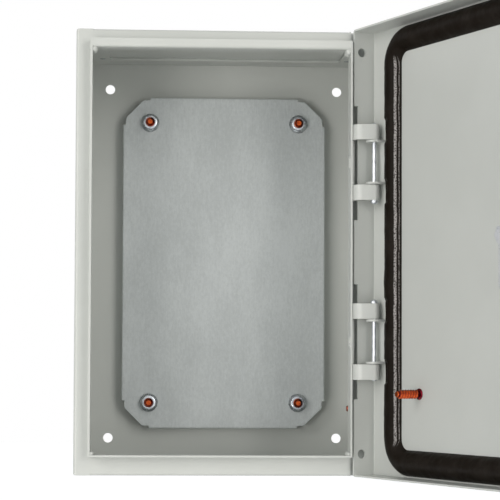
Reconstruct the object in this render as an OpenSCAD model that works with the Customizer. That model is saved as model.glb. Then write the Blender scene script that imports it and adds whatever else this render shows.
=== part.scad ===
// Small sheet-steel wall enclosure. The cabinet is folded and welded, its door swings
// on two concealed hinges, a mounting plate stands on weld studs, a gland plate closes
// the opening in the top wall and a quarter-turn cam lock holds the door shut.
// X runs across the front, Y into the wall and Z up. The origin is the centre of the
// four wall-fixing holes, on the rear face. The door is drawn swung open on its stop.

/* [Cabinet] */
// Width over the side walls
body_w = 210; // [200:5:260]
// Height over the top and bottom walls
body_h = 300; // [290:5:400]
// Depth from the wall to the front flange
body_d = 130; // [110:5:200]
// Sheet thickness of the cabinet and the door
sheet = 1.2; // [1:0.1:1.4]
// Inside radius of each fold
fold_r = 0.8; // [0.5:0.1:1]
// Rounding of the ground corner welds
corner_r = 1.8; // [1.5:0.1:2]
// Width of the front flange on the lock side, to the middle of its lip
side_flange = 10.7; // [9:0.1:12]
// Height of the front flange at the top and bottom, to the middle of its lip
end_flange = 13.4; // [12:0.1:16]
// How far the sealing lips stand in front of the flange
lip = 10; // [8:0.5:10]
// Height of the rain rim folded up from the top lip
rim_h = 5.5; // [4:0.5:6]
// Width of the hinge channel, from the cabinet's edge to the middle of the lip wall
channel_w = 25; // [25:0.5:30]
// Depth of the hinge channel behind the front flange
channel_d = 6; // [5:0.5:10]

/* [Wall fixing] */
// Hole spacing across
fix_x = 170; // [140:5:170]
// Hole spacing up
fix_z = 260; // [220:5:260]
// Hole diameter
fix_d = 7; // [6:0.5:9]

/* [Mounting plate] */
// Width of the plate
plate_w = 150; // [130:5:160]
// Height of the plate
plate_h = 245; // [230:5:250]
// Thickness of the plate
plate_t = 1.5; // [1:0.5:2]
// From the back wall to the plate's front face
plate_off = 12; // [10:1:20]
// Stud spacing across
stud_x = 110; // [100:5:120]
// Stud spacing up
stud_z = 207; // [190:1:210]
// Thread diameter of the studs
stud_d = 6; // [5:1:6]
// Length of the plate studs
stud_len = 20; // [18:1:30]

/* [Gland plate] */
// Width of the opening in the top wall
gland_w = 170; // [120:5:170]
// Margin from the opening to the front flange
gland_front = 24; // [20:1:30]
// Margin from the opening to the back wall
gland_back = 20; // [16:1:30]
// How far the gland plate laps past the opening
gland_lap = 10; // [9:0.5:12]
// Thickness of the gland plate
gland_t = 1.5; // [1:0.5:2]
// Thickness of its flat gasket
gland_seal = 0.5; // [0.5:0.5:2]

/* [Door] */
// Depth of the door pan
door_t = 17.5; // [17:0.5:20]
// Gap between the door's free edge and the front flange
door_gap = 0.6; // [0.4:0.1:1]
// Angle between the drawn door and the closed door
open_deg = 116; // [0:1:116]
// Radius of the foam bead's crown
bead_r = 8.8; // [8:0.1:9]
// Height of the foam bead
bead_h = 6.5; // [4:0.1:6.5]
// From the hinge edge to the middle of the foam bead
bead_hinge = 25; // [25:0.1:27]
// Corner radius of the bead's middle line
bead_corner = 15.5; // [12:0.5:20]

/* [Hinges] */
// From the hinge edge to the pin
pin_x = 10; // [10:0.1:11]
// From the front flange forward to the pin
pin_y = 10.8; // [10.5:0.1:11]
// Pin diameter
pin_d = 3; // [2.5:0.5:3]
// Height of each hinge centre above and below the door's middle
hinge_z = 60; // [50:5:90]
// Height over both knuckles of a hinge
hinge_h = 51; // [45:1:60]
// Height of one knuckle
knuckle_h = 10.4; // [8:0.1:12]
// Thickness of the cabinet's hinge strap
strap_t = 2; // [1.5:0.1:2]
// Thickness of the door's hinge bracket
ear_t = 1.5; // [1:0.1:2]

/* [Lock] */
// From the lock side of the door to the lock's axis
lock_in = 38; // [34:1:50]
// Diameter of the threaded lock housing
lock_d = 22; // [18:1:22]
// Reach of the cam from the lock's axis
cam_reach = 32; // [30:0.5:34]

/* [Hidden] */
$fn = 48;

paint = "#c6cbc6";
zinc = "#c9ccd0";
galvanised = "#a9adae";
copper = "#b5603a";
foam = "#2b2724";
black_rubber = "#1f1f20";
grey_foam = "#b9bdb9";

half_w = body_w / 2;
half_h = body_h / 2;
half_t = sheet / 2;
flange_y = -body_d;                          // front face of the front flange
lip_y = flange_y - lip;                      // front edge of the sealing lips
left_lip_x = -half_w + side_flange;          // middle of the lip on the lock side
hinge_lip_x = half_w - channel_w;            // middle of the hinge channel's lip wall
lip_z = half_h - end_flange;                 // middle of the top lip
rim_z = lip_z + rim_h;                       // top of the rain rim and of the side lips
floor_y = flange_y + channel_d;              // front face of the hinge channel's floor
bend_r = fold_r + sheet;                     // outside radius of each fold
relief = fold_r + 0.1;                       // corner cut that clears the folds
over = 1;                                    // how far a cutter passes the faces it opens

gland_y0 = flange_y + gland_front;
gland_y1 = -sheet - gland_back;
gland_len = gland_y1 - gland_y0;
gland_mid = (gland_y0 + gland_y1) / 2;
gland_screw_x = gland_w / 2 + gland_lap / 2;
gland_screw_y = gland_len / 2 - 4;
gland_screw_r = 2.4;

plate_y = -sheet - plate_off;                // front face of the mounting plate
plate_fold_r = 0.6;                          // inside radius of its folded edges
plate_inset = plate_fold_r + plate_t;
plate_chamfer = 13;
plate_side_fold = 204;
plate_end_fold = 109.5;

door_edge_y = flange_y - door_gap;           // free edge of the door's returns
door_front_y = door_edge_y - door_t;         // outer face of the door
door_inner_y = door_front_y + sheet;         // inner face of the door plate
notch_depth = 3.1;
notch_len = 77;
return_hole_r = 3;
return_hole_z = half_h - 15;
return_hole_y = door_front_y + 11.5;
bead_drop = bead_r - bead_h;                 // how far the bead's centre lies in the door plate
bead_end = 10.6;                             // from the door's top and bottom to the bead's middle
bead_lock = 10.7;                            // from the lock side to the bead's middle

pin_r = pin_d / 2;
pivot = [half_w - pin_x, flange_y - pin_y];
knuckle_r = pin_r + strap_t;
strap_x = hinge_lip_x + half_t;              // face of the lip wall that carries the strap
strap_bend = 7;                              // outside radius of the strap's bend
bend_at = [strap_x + strap_bend, pivot.y - knuckle_r + strap_bend];
knuckle_z = hinge_h / 2 - knuckle_h;         // inner end of a knuckle from the hinge centre
ear_play = 0.3;
ear_r = 5.5;
ear_hole_r = pin_r + 0.05;
bracket_z = knuckle_z - ear_play;

lock_x = -half_w + lock_in;
lock_r = lock_d / 2;
lock_flat = lock_r - 1;                      // half width over the housing's flats
seal_t = 1;
head_r = 14;
head_t = 5;
head_y = door_front_y - seal_t - head_t;     // front of the lock's head
cam_y = flange_y + sheet + 0.5;              // front face of the cam
cam_t = 3;
cam_w = 16;
barrel_y = cam_y - 0.3;                      // rear end of the housing
rotor_r = 8;
rotor_play = 0.05;
rotor_y = head_y + 2;                        // front of the rotor, sunk in the head
square_shank = 8;
cam_screw_r = 2.5;
earth_z = -106;                              // height of the cabinet's earth stud
earth_y = flange_y + 52;
earth_len = 20;
door_earth_x = half_w - 53.6;
door_earth_z = -94.3;
door_earth_len = 18;

// ---- Helpers -------------------------------------------------------------------------

// Unit vector of an axis-aligned step
function step(a, b) = (b - a) / norm(b - a);

// Square between two opposite corners given in any order
module span(a, b) {
    translate([min(a.x, b.x), min(a.y, b.y)])
        square([abs(a.x - b.x), abs(a.y - b.y)]);
}

// Section of a sheet folded at right angles; the path is its middle line
module fold_strip(path, t, inner_r) {
    mid_r = inner_r + t / 2;
    outer_r = inner_r + t;
    last = len(path) - 1;
    for (i = [0 : last - 1]) {
        dir = step(path[i], path[i + 1]);
        side = [abs(dir.y), abs(dir.x)] * t / 2;
        from = path[i] + dir * (i == 0 ? 0 : mid_r);
        to = path[i + 1] - dir * (i == last - 1 ? 0 : mid_r);
        span([min(from.x, to.x), min(from.y, to.y)] - side,
             [max(from.x, to.x), max(from.y, to.y)] + side);
    }
    for (i = [1 : last - 1]) {
        a = step(path[i - 1], path[i]);
        b = step(path[i], path[i + 1]);
        translate(path[i] - mid_r * a + mid_r * b)
            intersection() {
                difference() {
                    circle(r = outer_r);
                    circle(r = inner_r);
                }
                span([0, 0], (a - b) * outer_r);
            }
    }
}

// Rectangle about the origin with round corners
module round_rect(w, h, r) {
    square([w - 2 * r, h], center = true);
    square([w, h - 2 * r], center = true);
    for (x = [-1, 1], y = [-1, 1])
        translate([x * (w / 2 - r), y * (h / 2 - r)])
            circle(r = r);
}

// Extrude along Y, from y0 to y1; the section's x and y become X and Z
module along_y(y0, y1) {
    translate([0, y1, 0])
        rotate([90, 0, 0])
            linear_extrude(height = y1 - y0)
                children();
}

// Extrude along X, from x0 to x1; the section's x and y become Y and Z
module along_x(x0, x1) {
    translate([x0, 0, 0])
        rotate([90, 0, 90])
            linear_extrude(height = x1 - x0)
                children();
}

// Extrude along Z, from z0 to z1
module along_z(z0, z1) {
    translate([0, 0, z0])
        linear_extrude(height = z1 - z0)
            children();
}

// Turn children that revolve about Z so that their axis runs towards +Y from the origin
module axis_y() {
    rotate([-90, 0, 0])
        children();
}

// Outer form of the welded cabinet, with its long corners ground round
module cabinet_envelope() {
    along_y(lip_y - over, over)
        round_rect(body_w, body_h, corner_r);
}

// Weld stud standing on the XY plane, with its collar and a pointed end
module weld_stud(len) {
    r = stud_d / 2;
    rotate_extrude()
        polygon([[0, 0], [r + 0.7, 0], [r + 0.7, 0.6], [r, 1.1], [r, len - 1], [r - 0.9, len], [0, len]]);
}

// Swing the closed door's pieces open about the hinge pins
module swing() {
    translate(pivot)
        rotate(open_deg)
            translate(-pivot)
                children();
}

// ---- Cabinet -------------------------------------------------------------------------

// Plan section of the sheet that makes both sides and the back
module wrap_section() {
    side_x = half_w - half_t;
    fold_strip([
        [left_lip_x, lip_y],
        [left_lip_x, flange_y + half_t],
        [-side_x, flange_y + half_t],
        [-side_x, -half_t],
        [side_x, -half_t],
        [side_x, floor_y + half_t],
        [hinge_lip_x, floor_y + half_t],
        [hinge_lip_x, lip_y]
    ], sheet, fold_r);
}

// Box that takes the side lips away above the rain rim or below the bottom lip
module lip_end(z0, z1) {
    along_z(z0, z1)
        span([left_lip_x - bend_r - over, lip_y - over], [hinge_lip_x + bend_r, flange_y]);
}

module body_wrap() {
    low_z = -lip_z - half_t;
    color(paint)
        difference() {
            intersection() {
                union() {
                    difference() {
                        along_z(-half_h, half_h)
                            wrap_section();
                        lip_end(rim_z, half_h + over);
                        lip_end(-half_h - over, low_z);
                    }
                    for (z = [[rim_z, half_h], [-half_h, low_z]])
                        along_z(z[0], z[1])
                            span([left_lip_x - bend_r, flange_y],
                                 [left_lip_x + half_t, flange_y + sheet]);
                }
                cabinet_envelope();
            }
            for (x = [-1, 1], z = [-1, 1])
                translate([x * fix_x / 2, -sheet - over, z * fix_z / 2])
                    axis_y()
                        cylinder(d = fix_d, h = sheet + 2 * over);
        }
}

// Plan of the top and bottom walls between the sides, cut back round the hinge channel
module wall_plan() {
    x0 = -half_w + sheet;
    x1 = half_w - sheet;
    front = flange_y + sheet;
    fold_end = flange_y + bend_r;
    channel = floor_y + sheet;
    polygon([
        [x0 + relief, -sheet], [x0, -sheet - relief],
        [x0, front + relief], [x0 + relief, front], [left_lip_x + half_t, front],
        [left_lip_x + half_t, fold_end], [hinge_lip_x - half_t, fold_end],
        [hinge_lip_x - half_t, channel], [x1 - relief, channel], [x1, channel + relief],
        [x1, -sheet - relief], [x1 - relief, -sheet]
    ]);
}

// Top wall with its front fold; the outline of the lip is given as more points
module end_wall(lip_path) {
    intersection() {
        union() {
            along_z(half_h - sheet, half_h)
                wall_plan();
            along_x(left_lip_x + half_t, hinge_lip_x - half_t)
                fold_strip(concat([
                    [flange_y + bend_r + over, half_h - half_t],
                    [flange_y + half_t, half_h - half_t],
                    [flange_y + half_t, lip_z]
                ], lip_path), sheet, fold_r);
        }
        cabinet_envelope();
    }
}

module top_panel() {
    color(paint)
        difference() {
            end_wall([[lip_y + half_t, lip_z], [lip_y + half_t, rim_z]]);
            translate([0, gland_mid, half_h - sheet - over])
                linear_extrude(height = sheet + 2 * over)
                    round_rect(gland_w, gland_len, 3);
            gland_holes(gland_screw_r + 0.05, half_h - sheet - over, half_h + over);
        }
}

module bottom_panel() {
    color(paint)
        mirror([0, 0, 1])
            end_wall([[lip_y, lip_z]]);
}

// ---- Gland plate ---------------------------------------------------------------------

// The gland plate's four screw places, as cylinders
module gland_holes(r, z0, z1) {
    for (x = [-1, 1], y = [-1, 1])
        translate([x * gland_screw_x, gland_mid + y * gland_screw_y, z0])
            cylinder(r = r, h = z1 - z0);
}

module gland_gasket() {
    color(grey_foam)
        difference() {
            translate([0, gland_mid, half_h])
                linear_extrude(height = gland_seal)
                    difference() {
                        round_rect(gland_w + 2 * gland_lap - 1, gland_len + 2 * gland_lap - 1, 3);
                        round_rect(gland_w, gland_len, 3);
                    }
            gland_holes(gland_screw_r + 0.2, half_h - over, half_h + gland_seal + over);
        }
}

module gland_plate() {
    z0 = half_h + gland_seal;
    color(paint)
        difference() {
            translate([0, gland_mid, z0])
                linear_extrude(height = gland_t)
                    round_rect(gland_w + 2 * gland_lap, gland_len + 2 * gland_lap, 3);
            gland_holes(gland_screw_r + 0.35, z0 - over, z0 + gland_t + over);
        }
}

module gland_screws() {
    seat = half_h + gland_seal + gland_t;
    head_h = 2.2;
    reach = gland_t + gland_seal + sheet + 0.2;
    color(zinc)
        for (x = [-1, 1], y = [-1, 1])
            translate([x * gland_screw_x, gland_mid + y * gland_screw_y, seat])
                difference() {
                    rotate_extrude()
                        polygon([
                            [0, -reach], [gland_screw_r - 0.4, -reach], [gland_screw_r, 0.4 - reach],
                            [gland_screw_r, 0], [4.6, 0], [4.6, 1.2], [3.6, head_h], [0, head_h]
                        ]);
                    for (turn = [0, 90])
                        rotate(turn)
                            translate([0, 0, head_h])
                                cube([4.6, 0.9, 2.4], center = true);
                }
}

// ---- Mounting plate ------------------------------------------------------------------

// Flat of the mounting plate, with its corners cut off
module plate_flat() {
    x = plate_w / 2 - plate_inset;
    z = plate_h / 2 - plate_inset;
    c = plate_chamfer;
    polygon([
        [x, z - c], [x - c, z], [c - x, z], [-x, z - c],
        [-x, c - z], [c - x, -z], [x - c, -z], [x, c - z]
    ]);
}

// Section of one folded edge, reaching from the flat back to the cabinet's wall
module plate_edge(half) {
    mid_y = plate_y + plate_t / 2;
    fold_strip([
        [half - plate_inset - 3, mid_y],
        [half - plate_t / 2, mid_y],
        [half - plate_t / 2, -sheet]
    ], plate_t, plate_fold_r);
}

module mounting_plate() {
    color(galvanised)
        difference() {
            union() {
                along_y(plate_y, plate_y + plate_t)
                    plate_flat();
                for (m = [0, 1])
                    mirror([m, 0, 0])
                        along_z(-plate_side_fold / 2, plate_side_fold / 2)
                            plate_edge(plate_w / 2);
                for (m = [0, 1])
                    mirror([0, 0, m])
                        rotate([0, -90, 0])
                            along_z(-plate_end_fold / 2, plate_end_fold / 2)
                                plate_edge(plate_h / 2);
            }
            for (x = [-1, 1], z = [-1, 1])
                translate([x * stud_x / 2, plate_y - over, z * stud_z / 2])
                    axis_y()
                        cylinder(d = stud_d + 0.6, h = plate_t + 2 * over);
        }
}

// Children on each plate stud, pointing to the front from the plane given
module on_studs(y) {
    for (x = [-1, 1], z = [-1, 1])
        translate([x * stud_x / 2, y, z * stud_z / 2])
            rotate([90, 0, 0])
                children();
}

module plate_studs() {
    color(copper)
        on_studs(-sheet)
            weld_stud(stud_len);
}

// Hex flange nut standing on its flange
module flange_nut() {
    across_flats = 10;
    difference() {
        union() {
            rotate_extrude()
                polygon([[0, 0], [6.7, 0], [6.7, 0.9], [5, 1.9], [0, 1.9]]);
            intersection() {
                cylinder(d = across_flats / cos(30), h = 6, $fn = 6);
                rotate_extrude()
                    polygon([[0, 0], [6, 0], [6, 5.3], [4.9, 6], [0, 6]]);
            }
        }
        translate([0, 0, -over])
            cylinder(d = stud_d + 0.1, h = 6 + 2 * over);
    }
}

module plate_nuts() {
    color(zinc)
        on_studs(plate_y)
            flange_nut();
}

module body_earth_stud() {
    color(copper)
        translate([half_w - sheet, earth_y, earth_z])
            rotate([0, -90, 0])
                weld_stud(earth_len);
}

// ---- Hinges --------------------------------------------------------------------------

// Plan section of a cabinet hinge strap: leg on the lip wall, wide bend, curl round the pin
module strap_section() {
    span([strap_x, bend_at.y], [strap_x + strap_t, floor_y - relief]);
    translate(bend_at)
        intersection() {
            difference() {
                circle(r = strap_bend);
                circle(r = strap_bend - strap_t);
            }
            span([0, 0], [-strap_bend, -strap_bend]);
        }
    span([bend_at.x, pivot.y - knuckle_r], [pivot.x, pivot.y - pin_r]);
    translate(pivot)
        difference() {
            circle(r = knuckle_r);
            circle(r = pin_r + 0.02);
            span([-knuckle_r - over, -0.4], [0, 0.1]);
        }
}

module body_hinge(z) {
    color(paint)
        translate([0, 0, z]) {
            for (m = [0, 1])
                mirror([0, 0, m])
                    along_z(knuckle_z, hinge_h / 2)
                        strap_section();
            along_z(-hinge_h / 2, hinge_h / 2)
                span([strap_x, flange_y - 4], [strap_x + strap_t, floor_y - relief]);
        }
}

module upper_body_hinge() {
    body_hinge(hinge_z);
}

module lower_body_hinge() {
    body_hinge(-hinge_z);
}

// Hinge pin with its domed head at the lower end
module hinge_pin() {
    dome_r = 2.6;
    end = hinge_h / 2 + 0.8;
    neck = -hinge_h / 2;
    color(zinc)
        translate(pivot)
            rotate_extrude()
                polygon([
                    [0, end], [pin_r - 0.5, end], [pin_r, end - 0.5], [pin_r, neck],
                    [dome_r, neck], [dome_r, neck - 0.9], [dome_r - 0.6, neck - 1.9],
                    [dome_r - 1.5, neck - 2.5], [0, neck - 2.7]
                ]);
}

module upper_hinge_pin() {
    translate([0, 0, hinge_z])
        hinge_pin();
}

module lower_hinge_pin() {
    mirror([0, 0, 1])
        upper_hinge_pin();
}

// Bracket on the door plate with two ears that turn on the pin
module door_hinge(z) {
    outer_z = bracket_z - ear_t / 2;
    web_y = door_inner_y + ear_t / 2;
    color(paint)
        swing()
            translate([0, 0, z])
                difference() {
                    intersection() {
                        along_x(pivot.x - ear_r - 1, pivot.x + ear_r + 1)
                            fold_strip([
                                [pivot.y + ear_r, outer_z], [web_y, outer_z],
                                [web_y, -outer_z], [pivot.y + ear_r, -outer_z]
                            ], ear_t, 0.6);
                        along_z(-bracket_z, bracket_z)
                            union() {
                                translate(pivot)
                                    circle(r = ear_r);
                                span([pivot.x - ear_r, door_inner_y], [pivot.x + ear_r, pivot.y]);
                            }
                    }
                    translate([pivot.x, pivot.y, -bracket_z - over])
                        cylinder(r = ear_hole_r, h = 2 * (bracket_z + over));
                }
}

module upper_door_hinge() {
    door_hinge(hinge_z);
}

module lower_door_hinge() {
    door_hinge(-hinge_z);
}

// ---- Door ----------------------------------------------------------------------------

// Section of a pan w wide and d deep, with its two closed corners rounded
module pan_section(w, d, r) {
    span([-w / 2, r], [w / 2, d]);
    span([-w / 2 + r, 0], [w / 2 - r, d]);
    for (x = [-1, 1])
        translate([x * (w / 2 - r), r])
            circle(r = r);
}

// Pan with its closed face at y = 0, opening towards +Y, and every long edge rounded
module pan(w, h, d, edge_r, vertical_r) {
    intersection() {
        along_z(-h / 2, h / 2)
            pan_section(w, d, edge_r);
        rotate([0, 90, 0])
            along_z(-w / 2, w / 2)
                pan_section(h, d, edge_r);
        along_y(0, d)
            round_rect(w, h, vertical_r);
    }
}

// Round hole with two flats that keeps the lock housing from turning
module lock_section(play) {
    intersection() {
        circle(r = lock_r + play);
        square([2 * (lock_r + play), 2 * (lock_flat + play)], center = true);
    }
}

module door_panel() {
    color(paint)
        swing()
            difference() {
                translate([0, door_front_y, 0])
                    difference() {
                        pan(body_w, body_h, door_t, bend_r, corner_r);
                        translate([0, sheet, 0])
                            pan(body_w - 2 * sheet, body_h - 2 * sheet, door_t, fold_r, corner_r - sheet);
                    }
                for (z = [-hinge_z, hinge_z])
                    along_z(z - notch_len / 2, z + notch_len / 2)
                        span([half_w - sheet - over, door_edge_y - notch_depth],
                             [half_w + over, door_edge_y + over]);
                for (z = [-return_hole_z, return_hole_z])
                    translate([half_w - sheet - over, return_hole_y, z])
                        rotate([0, 90, 0])
                            cylinder(r = return_hole_r, h = sheet + 2 * over);
                along_y(door_front_y - over, door_inner_y + over)
                    translate([lock_x, 0])
                        lock_section(0.25);
            }
}

// Domed section of the foam bead, standing on the line y = 0
module bead_section() {
    intersection() {
        translate([0, -bead_drop])
            circle(r = bead_r);
        span([-bead_r, 0], [bead_r, bead_h + over]);
    }
}

// Foam bead on the door plate, as one loop with round corners
module bead_loop() {
    x0 = -half_w + bead_lock;
    x1 = half_w - bead_hinge;
    z1 = half_h - bead_end;
    cx = (x0 + x1) / 2;
    hx = (x1 - x0) / 2 - bead_corner;
    hz = z1 - bead_corner;
    translate([cx, door_inner_y, 0])
        rotate([-90, 0, 0]) {
            for (turn = [0 : 3]) {
                along = turn % 2 == 0 ? hz : hx;
                across = turn % 2 == 0 ? hx : hz;
                rotate(turn * 90) {
                    translate([across + bead_corner, along, 0])
                        rotate([90, 0, 0])
                            linear_extrude(height = 2 * along)
                                bead_section();
                    translate([across, along, 0])
                        rotate_extrude(angle = 90)
                            translate([bead_corner, 0])
                                bead_section();
                }
            }
        }
}

// Plan of the dent that a hinge strap presses into the foam when the door is closed
module strap_dent(play) {
    translate(bend_at)
        circle(r = strap_bend + play);
    span([bend_at.x, pivot.y - knuckle_r - play], [pivot.x, bend_at.y]);
}

module door_gasket() {
    play = 0.4;
    knuckle_mid = (hinge_h - knuckle_h) / 2;
    color(foam)
        swing()
            difference() {
                bead_loop();
                for (z = [-hinge_z, hinge_z], side = [-1, 1])
                    translate([0, 0, z + side * knuckle_mid])
                        along_z(-knuckle_h / 2 - play, knuckle_h / 2 + play)
                            strap_dent(play);
            }
}

module door_earth_stud() {
    color(copper)
        swing()
            translate([door_earth_x, door_inner_y, door_earth_z])
                axis_y()
                    weld_stud(door_earth_len);
}

// ---- Lock ----------------------------------------------------------------------------

// Children about the lock's axis, swung open with the door; +Z of the children is inwards
module on_lock(y) {
    swing()
        translate([lock_x, y, 0])
            axis_y()
                children();
}

module lock_housing() {
    length = barrel_y - head_y;
    color(zinc)
        on_lock(head_y)
            difference() {
                union() {
                    rotate_extrude()
                        polygon([[0, 0], [head_r - 3, 0], [head_r, 3], [head_r, head_t], [0, head_t]]);
                    linear_extrude(height = length)
                        lock_section(0);
                }
                translate([0, 0, -over])
                    cylinder(r = rotor_r + rotor_play, h = length + 2 * over);
            }
}

module lock_seal() {
    color(black_rubber)
        on_lock(door_front_y - seal_t)
            difference() {
                cylinder(r = head_r - 0.5, h = seal_t);
                translate([0, 0, -over])
                    cylinder(r = lock_r + 0.1, h = seal_t + 2 * over);
            }
}

module lock_nut() {
    nut_h = 5;
    color(zinc)
        on_lock(door_inner_y)
            difference() {
                intersection() {
                    cylinder(r = 15.6, h = nut_h, $fn = 6);
                    rotate_extrude()
                        polygon([[0, 0], [15.8, 0], [15.8, nut_h - 1], [14, nut_h], [0, nut_h]]);
                }
                translate([0, 0, -over])
                    cylinder(r = lock_r + 0.1, h = nut_h + 2 * over);
            }
}

// Turning insert: key pocket with a double bit in front, square shank behind
module lock_rotor() {
    pocket = 8;
    length = barrel_y - rotor_y;
    color(zinc)
        on_lock(rotor_y)
            difference() {
                union() {
                    cylinder(r = rotor_r, h = length);
                    translate([0, 0, length + (cam_y - barrel_y + cam_t) / 2])
                        cube([square_shank, square_shank, cam_y - barrel_y + cam_t], center = true);
                }
                translate([0, 0, -over])
                    linear_extrude(height = pocket + over)
                        difference() {
                            circle(r = 6);
                            circle(r = 2.5);
                            square([3, 9.6], center = true);
                        }
                translate([0, 0, length - 8])
                    cylinder(r = cam_screw_r + 0.05, h = 8 + cam_y - barrel_y + cam_t + over);
            }
}

// Cam arm, hanging down when the lock is open
module lock_cam() {
    color(zinc)
        on_lock(cam_y)
            linear_extrude(height = cam_t)
                difference() {
                    union() {
                        circle(d = cam_w);
                        span([-cam_w / 2, 0], [cam_w / 2, cam_reach - 3]);
                        span([-cam_w / 2 + 3, 0], [cam_w / 2 - 3, cam_reach]);
                        for (x = [-1, 1])
                            translate([x * (cam_w / 2 - 3), cam_reach - 3])
                                circle(r = 3);
                    }
                    square(square_shank + 0.1, center = true);
                }
}

module cam_screw() {
    head_h = 4;
    color(zinc)
        on_lock(cam_y + cam_t)
            union() {
                translate([0, 0, -9])
                    cylinder(r = cam_screw_r, h = 9 + 0.5);
                cylinder(r = 6.5, h = 1);
                cylinder(d = 10 / cos(30), h = 1 + head_h, $fn = 6);
            }
}

// ---- Assembly ------------------------------------------------------------------------

body_wrap();
top_panel();
bottom_panel();
gland_plate();
gland_gasket();
gland_screws();
mounting_plate();
plate_studs();
plate_nuts();
body_earth_stud();
upper_body_hinge();
lower_body_hinge();
upper_hinge_pin();
lower_hinge_pin();
door_panel();
door_gasket();
upper_door_hinge();
lower_door_hinge();
door_earth_stud();
lock_housing();
lock_seal();
lock_nut();
lock_rotor();
lock_cam();
cam_screw();
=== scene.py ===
"""Dressed model of a small sheet-steel wall enclosure with its door swung open.

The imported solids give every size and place. This script gives them their finishes and
adds what solids leave plain: threads, chamfered nuts, weld beads, softened sheet edges
and the skin of the foam seal. Lengths are in metres unless a name ends in ``_mm``.
"""

from __future__ import annotations

import logging
import math
from dataclasses import dataclass
from enum import Enum
from typing import Any, Callable, Mapping, Sequence

import bmesh
import bpy
from mathutils import Matrix, Vector, noise

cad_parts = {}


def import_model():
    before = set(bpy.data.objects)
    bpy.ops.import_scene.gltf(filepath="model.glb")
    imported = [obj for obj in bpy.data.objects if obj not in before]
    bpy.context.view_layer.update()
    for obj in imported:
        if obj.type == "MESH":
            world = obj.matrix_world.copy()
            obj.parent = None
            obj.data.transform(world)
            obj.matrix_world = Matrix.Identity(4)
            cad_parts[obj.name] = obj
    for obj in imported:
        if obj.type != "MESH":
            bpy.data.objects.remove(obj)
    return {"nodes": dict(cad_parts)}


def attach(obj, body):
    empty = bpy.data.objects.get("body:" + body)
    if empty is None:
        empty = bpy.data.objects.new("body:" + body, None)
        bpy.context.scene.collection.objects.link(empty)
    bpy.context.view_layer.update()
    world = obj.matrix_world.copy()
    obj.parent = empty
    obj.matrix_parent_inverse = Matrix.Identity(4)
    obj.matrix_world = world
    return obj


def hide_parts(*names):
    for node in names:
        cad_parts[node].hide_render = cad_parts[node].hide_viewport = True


frame: dict[str, Any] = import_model()

LOG = logging.getLogger("wall_enclosure")
MM = 0.001
POLE = 1e-7  # a turned point nearer to the axis than this is a pole
OPAQUE = 1.0
Point = tuple[float, float, float]
Colour = tuple[float, float, float]
Profile = Sequence[tuple[float, float]]
Socket = bpy.types.NodeSocket
Mesh = bpy.types.Mesh
Material = bpy.types.Material
Object = bpy.types.Object
Form = bmesh.types.BMesh


class Body(Enum):
    """The moving bodies of the enclosure."""

    CABINET = "cabinet"
    DOOR = "door"
    LOCK = "lock_core"


class Slot(Enum):
    """The material slots named by the record."""

    PAINT = "grey_paint"
    GALVANISED = "galvanised_steel"
    ZINC = "zinc_plate"
    COPPER = "copper_plate"
    FOAM = "foam"
    RUBBER = "black_rubber"
    GREY_FOAM = "grey_foam"


# ---- Node graphs ----------------------------------------------------------------------


class Graph:
    """Adds and joins nodes in one node tree."""

    def __init__(self, tree: bpy.types.NodeTree) -> None:
        """Start on an empty tree.

        Args:
            tree: The tree to fill.
        """
        self.tree = tree
        tree.nodes.clear()

    def add(
        self, kind: str, inputs: Mapping[int | str, Any] | None = None, **settings: Any
    ) -> bpy.types.Node:
        """Add one node.

        Args:
            kind: Its type name.
            inputs: Values or sockets for its inputs, by name or number.
            settings: Values for the node's own properties.

        Returns:
            The new node.
        """
        node = self.tree.nodes.new(kind)
        for name, value in settings.items():
            setattr(node, name, value)
        for key, value in (inputs or {}).items():
            if isinstance(value, Socket):
                self.tree.links.new(value, node.inputs[key])
            else:
                node.inputs[key].default_value = value
        return node

    def part(
        self, kind: str, inputs: Mapping[int | str, Any] | None = None, **settings: Any
    ) -> Socket:
        """Add one node as in ``add`` and return its first output."""
        return self.add(kind, inputs, **settings).outputs[0]

    def maths(self, how: str, *values: Any) -> Socket:
        """Return the result of one arithmetic step on sockets or numbers."""
        return self.part("ShaderNodeMath", dict(enumerate(values)), operation=how)

    def share(self, value: Socket, factor: Any) -> Socket:
        """Return a value times a factor."""
        return self.maths("MULTIPLY", value, factor)


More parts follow.
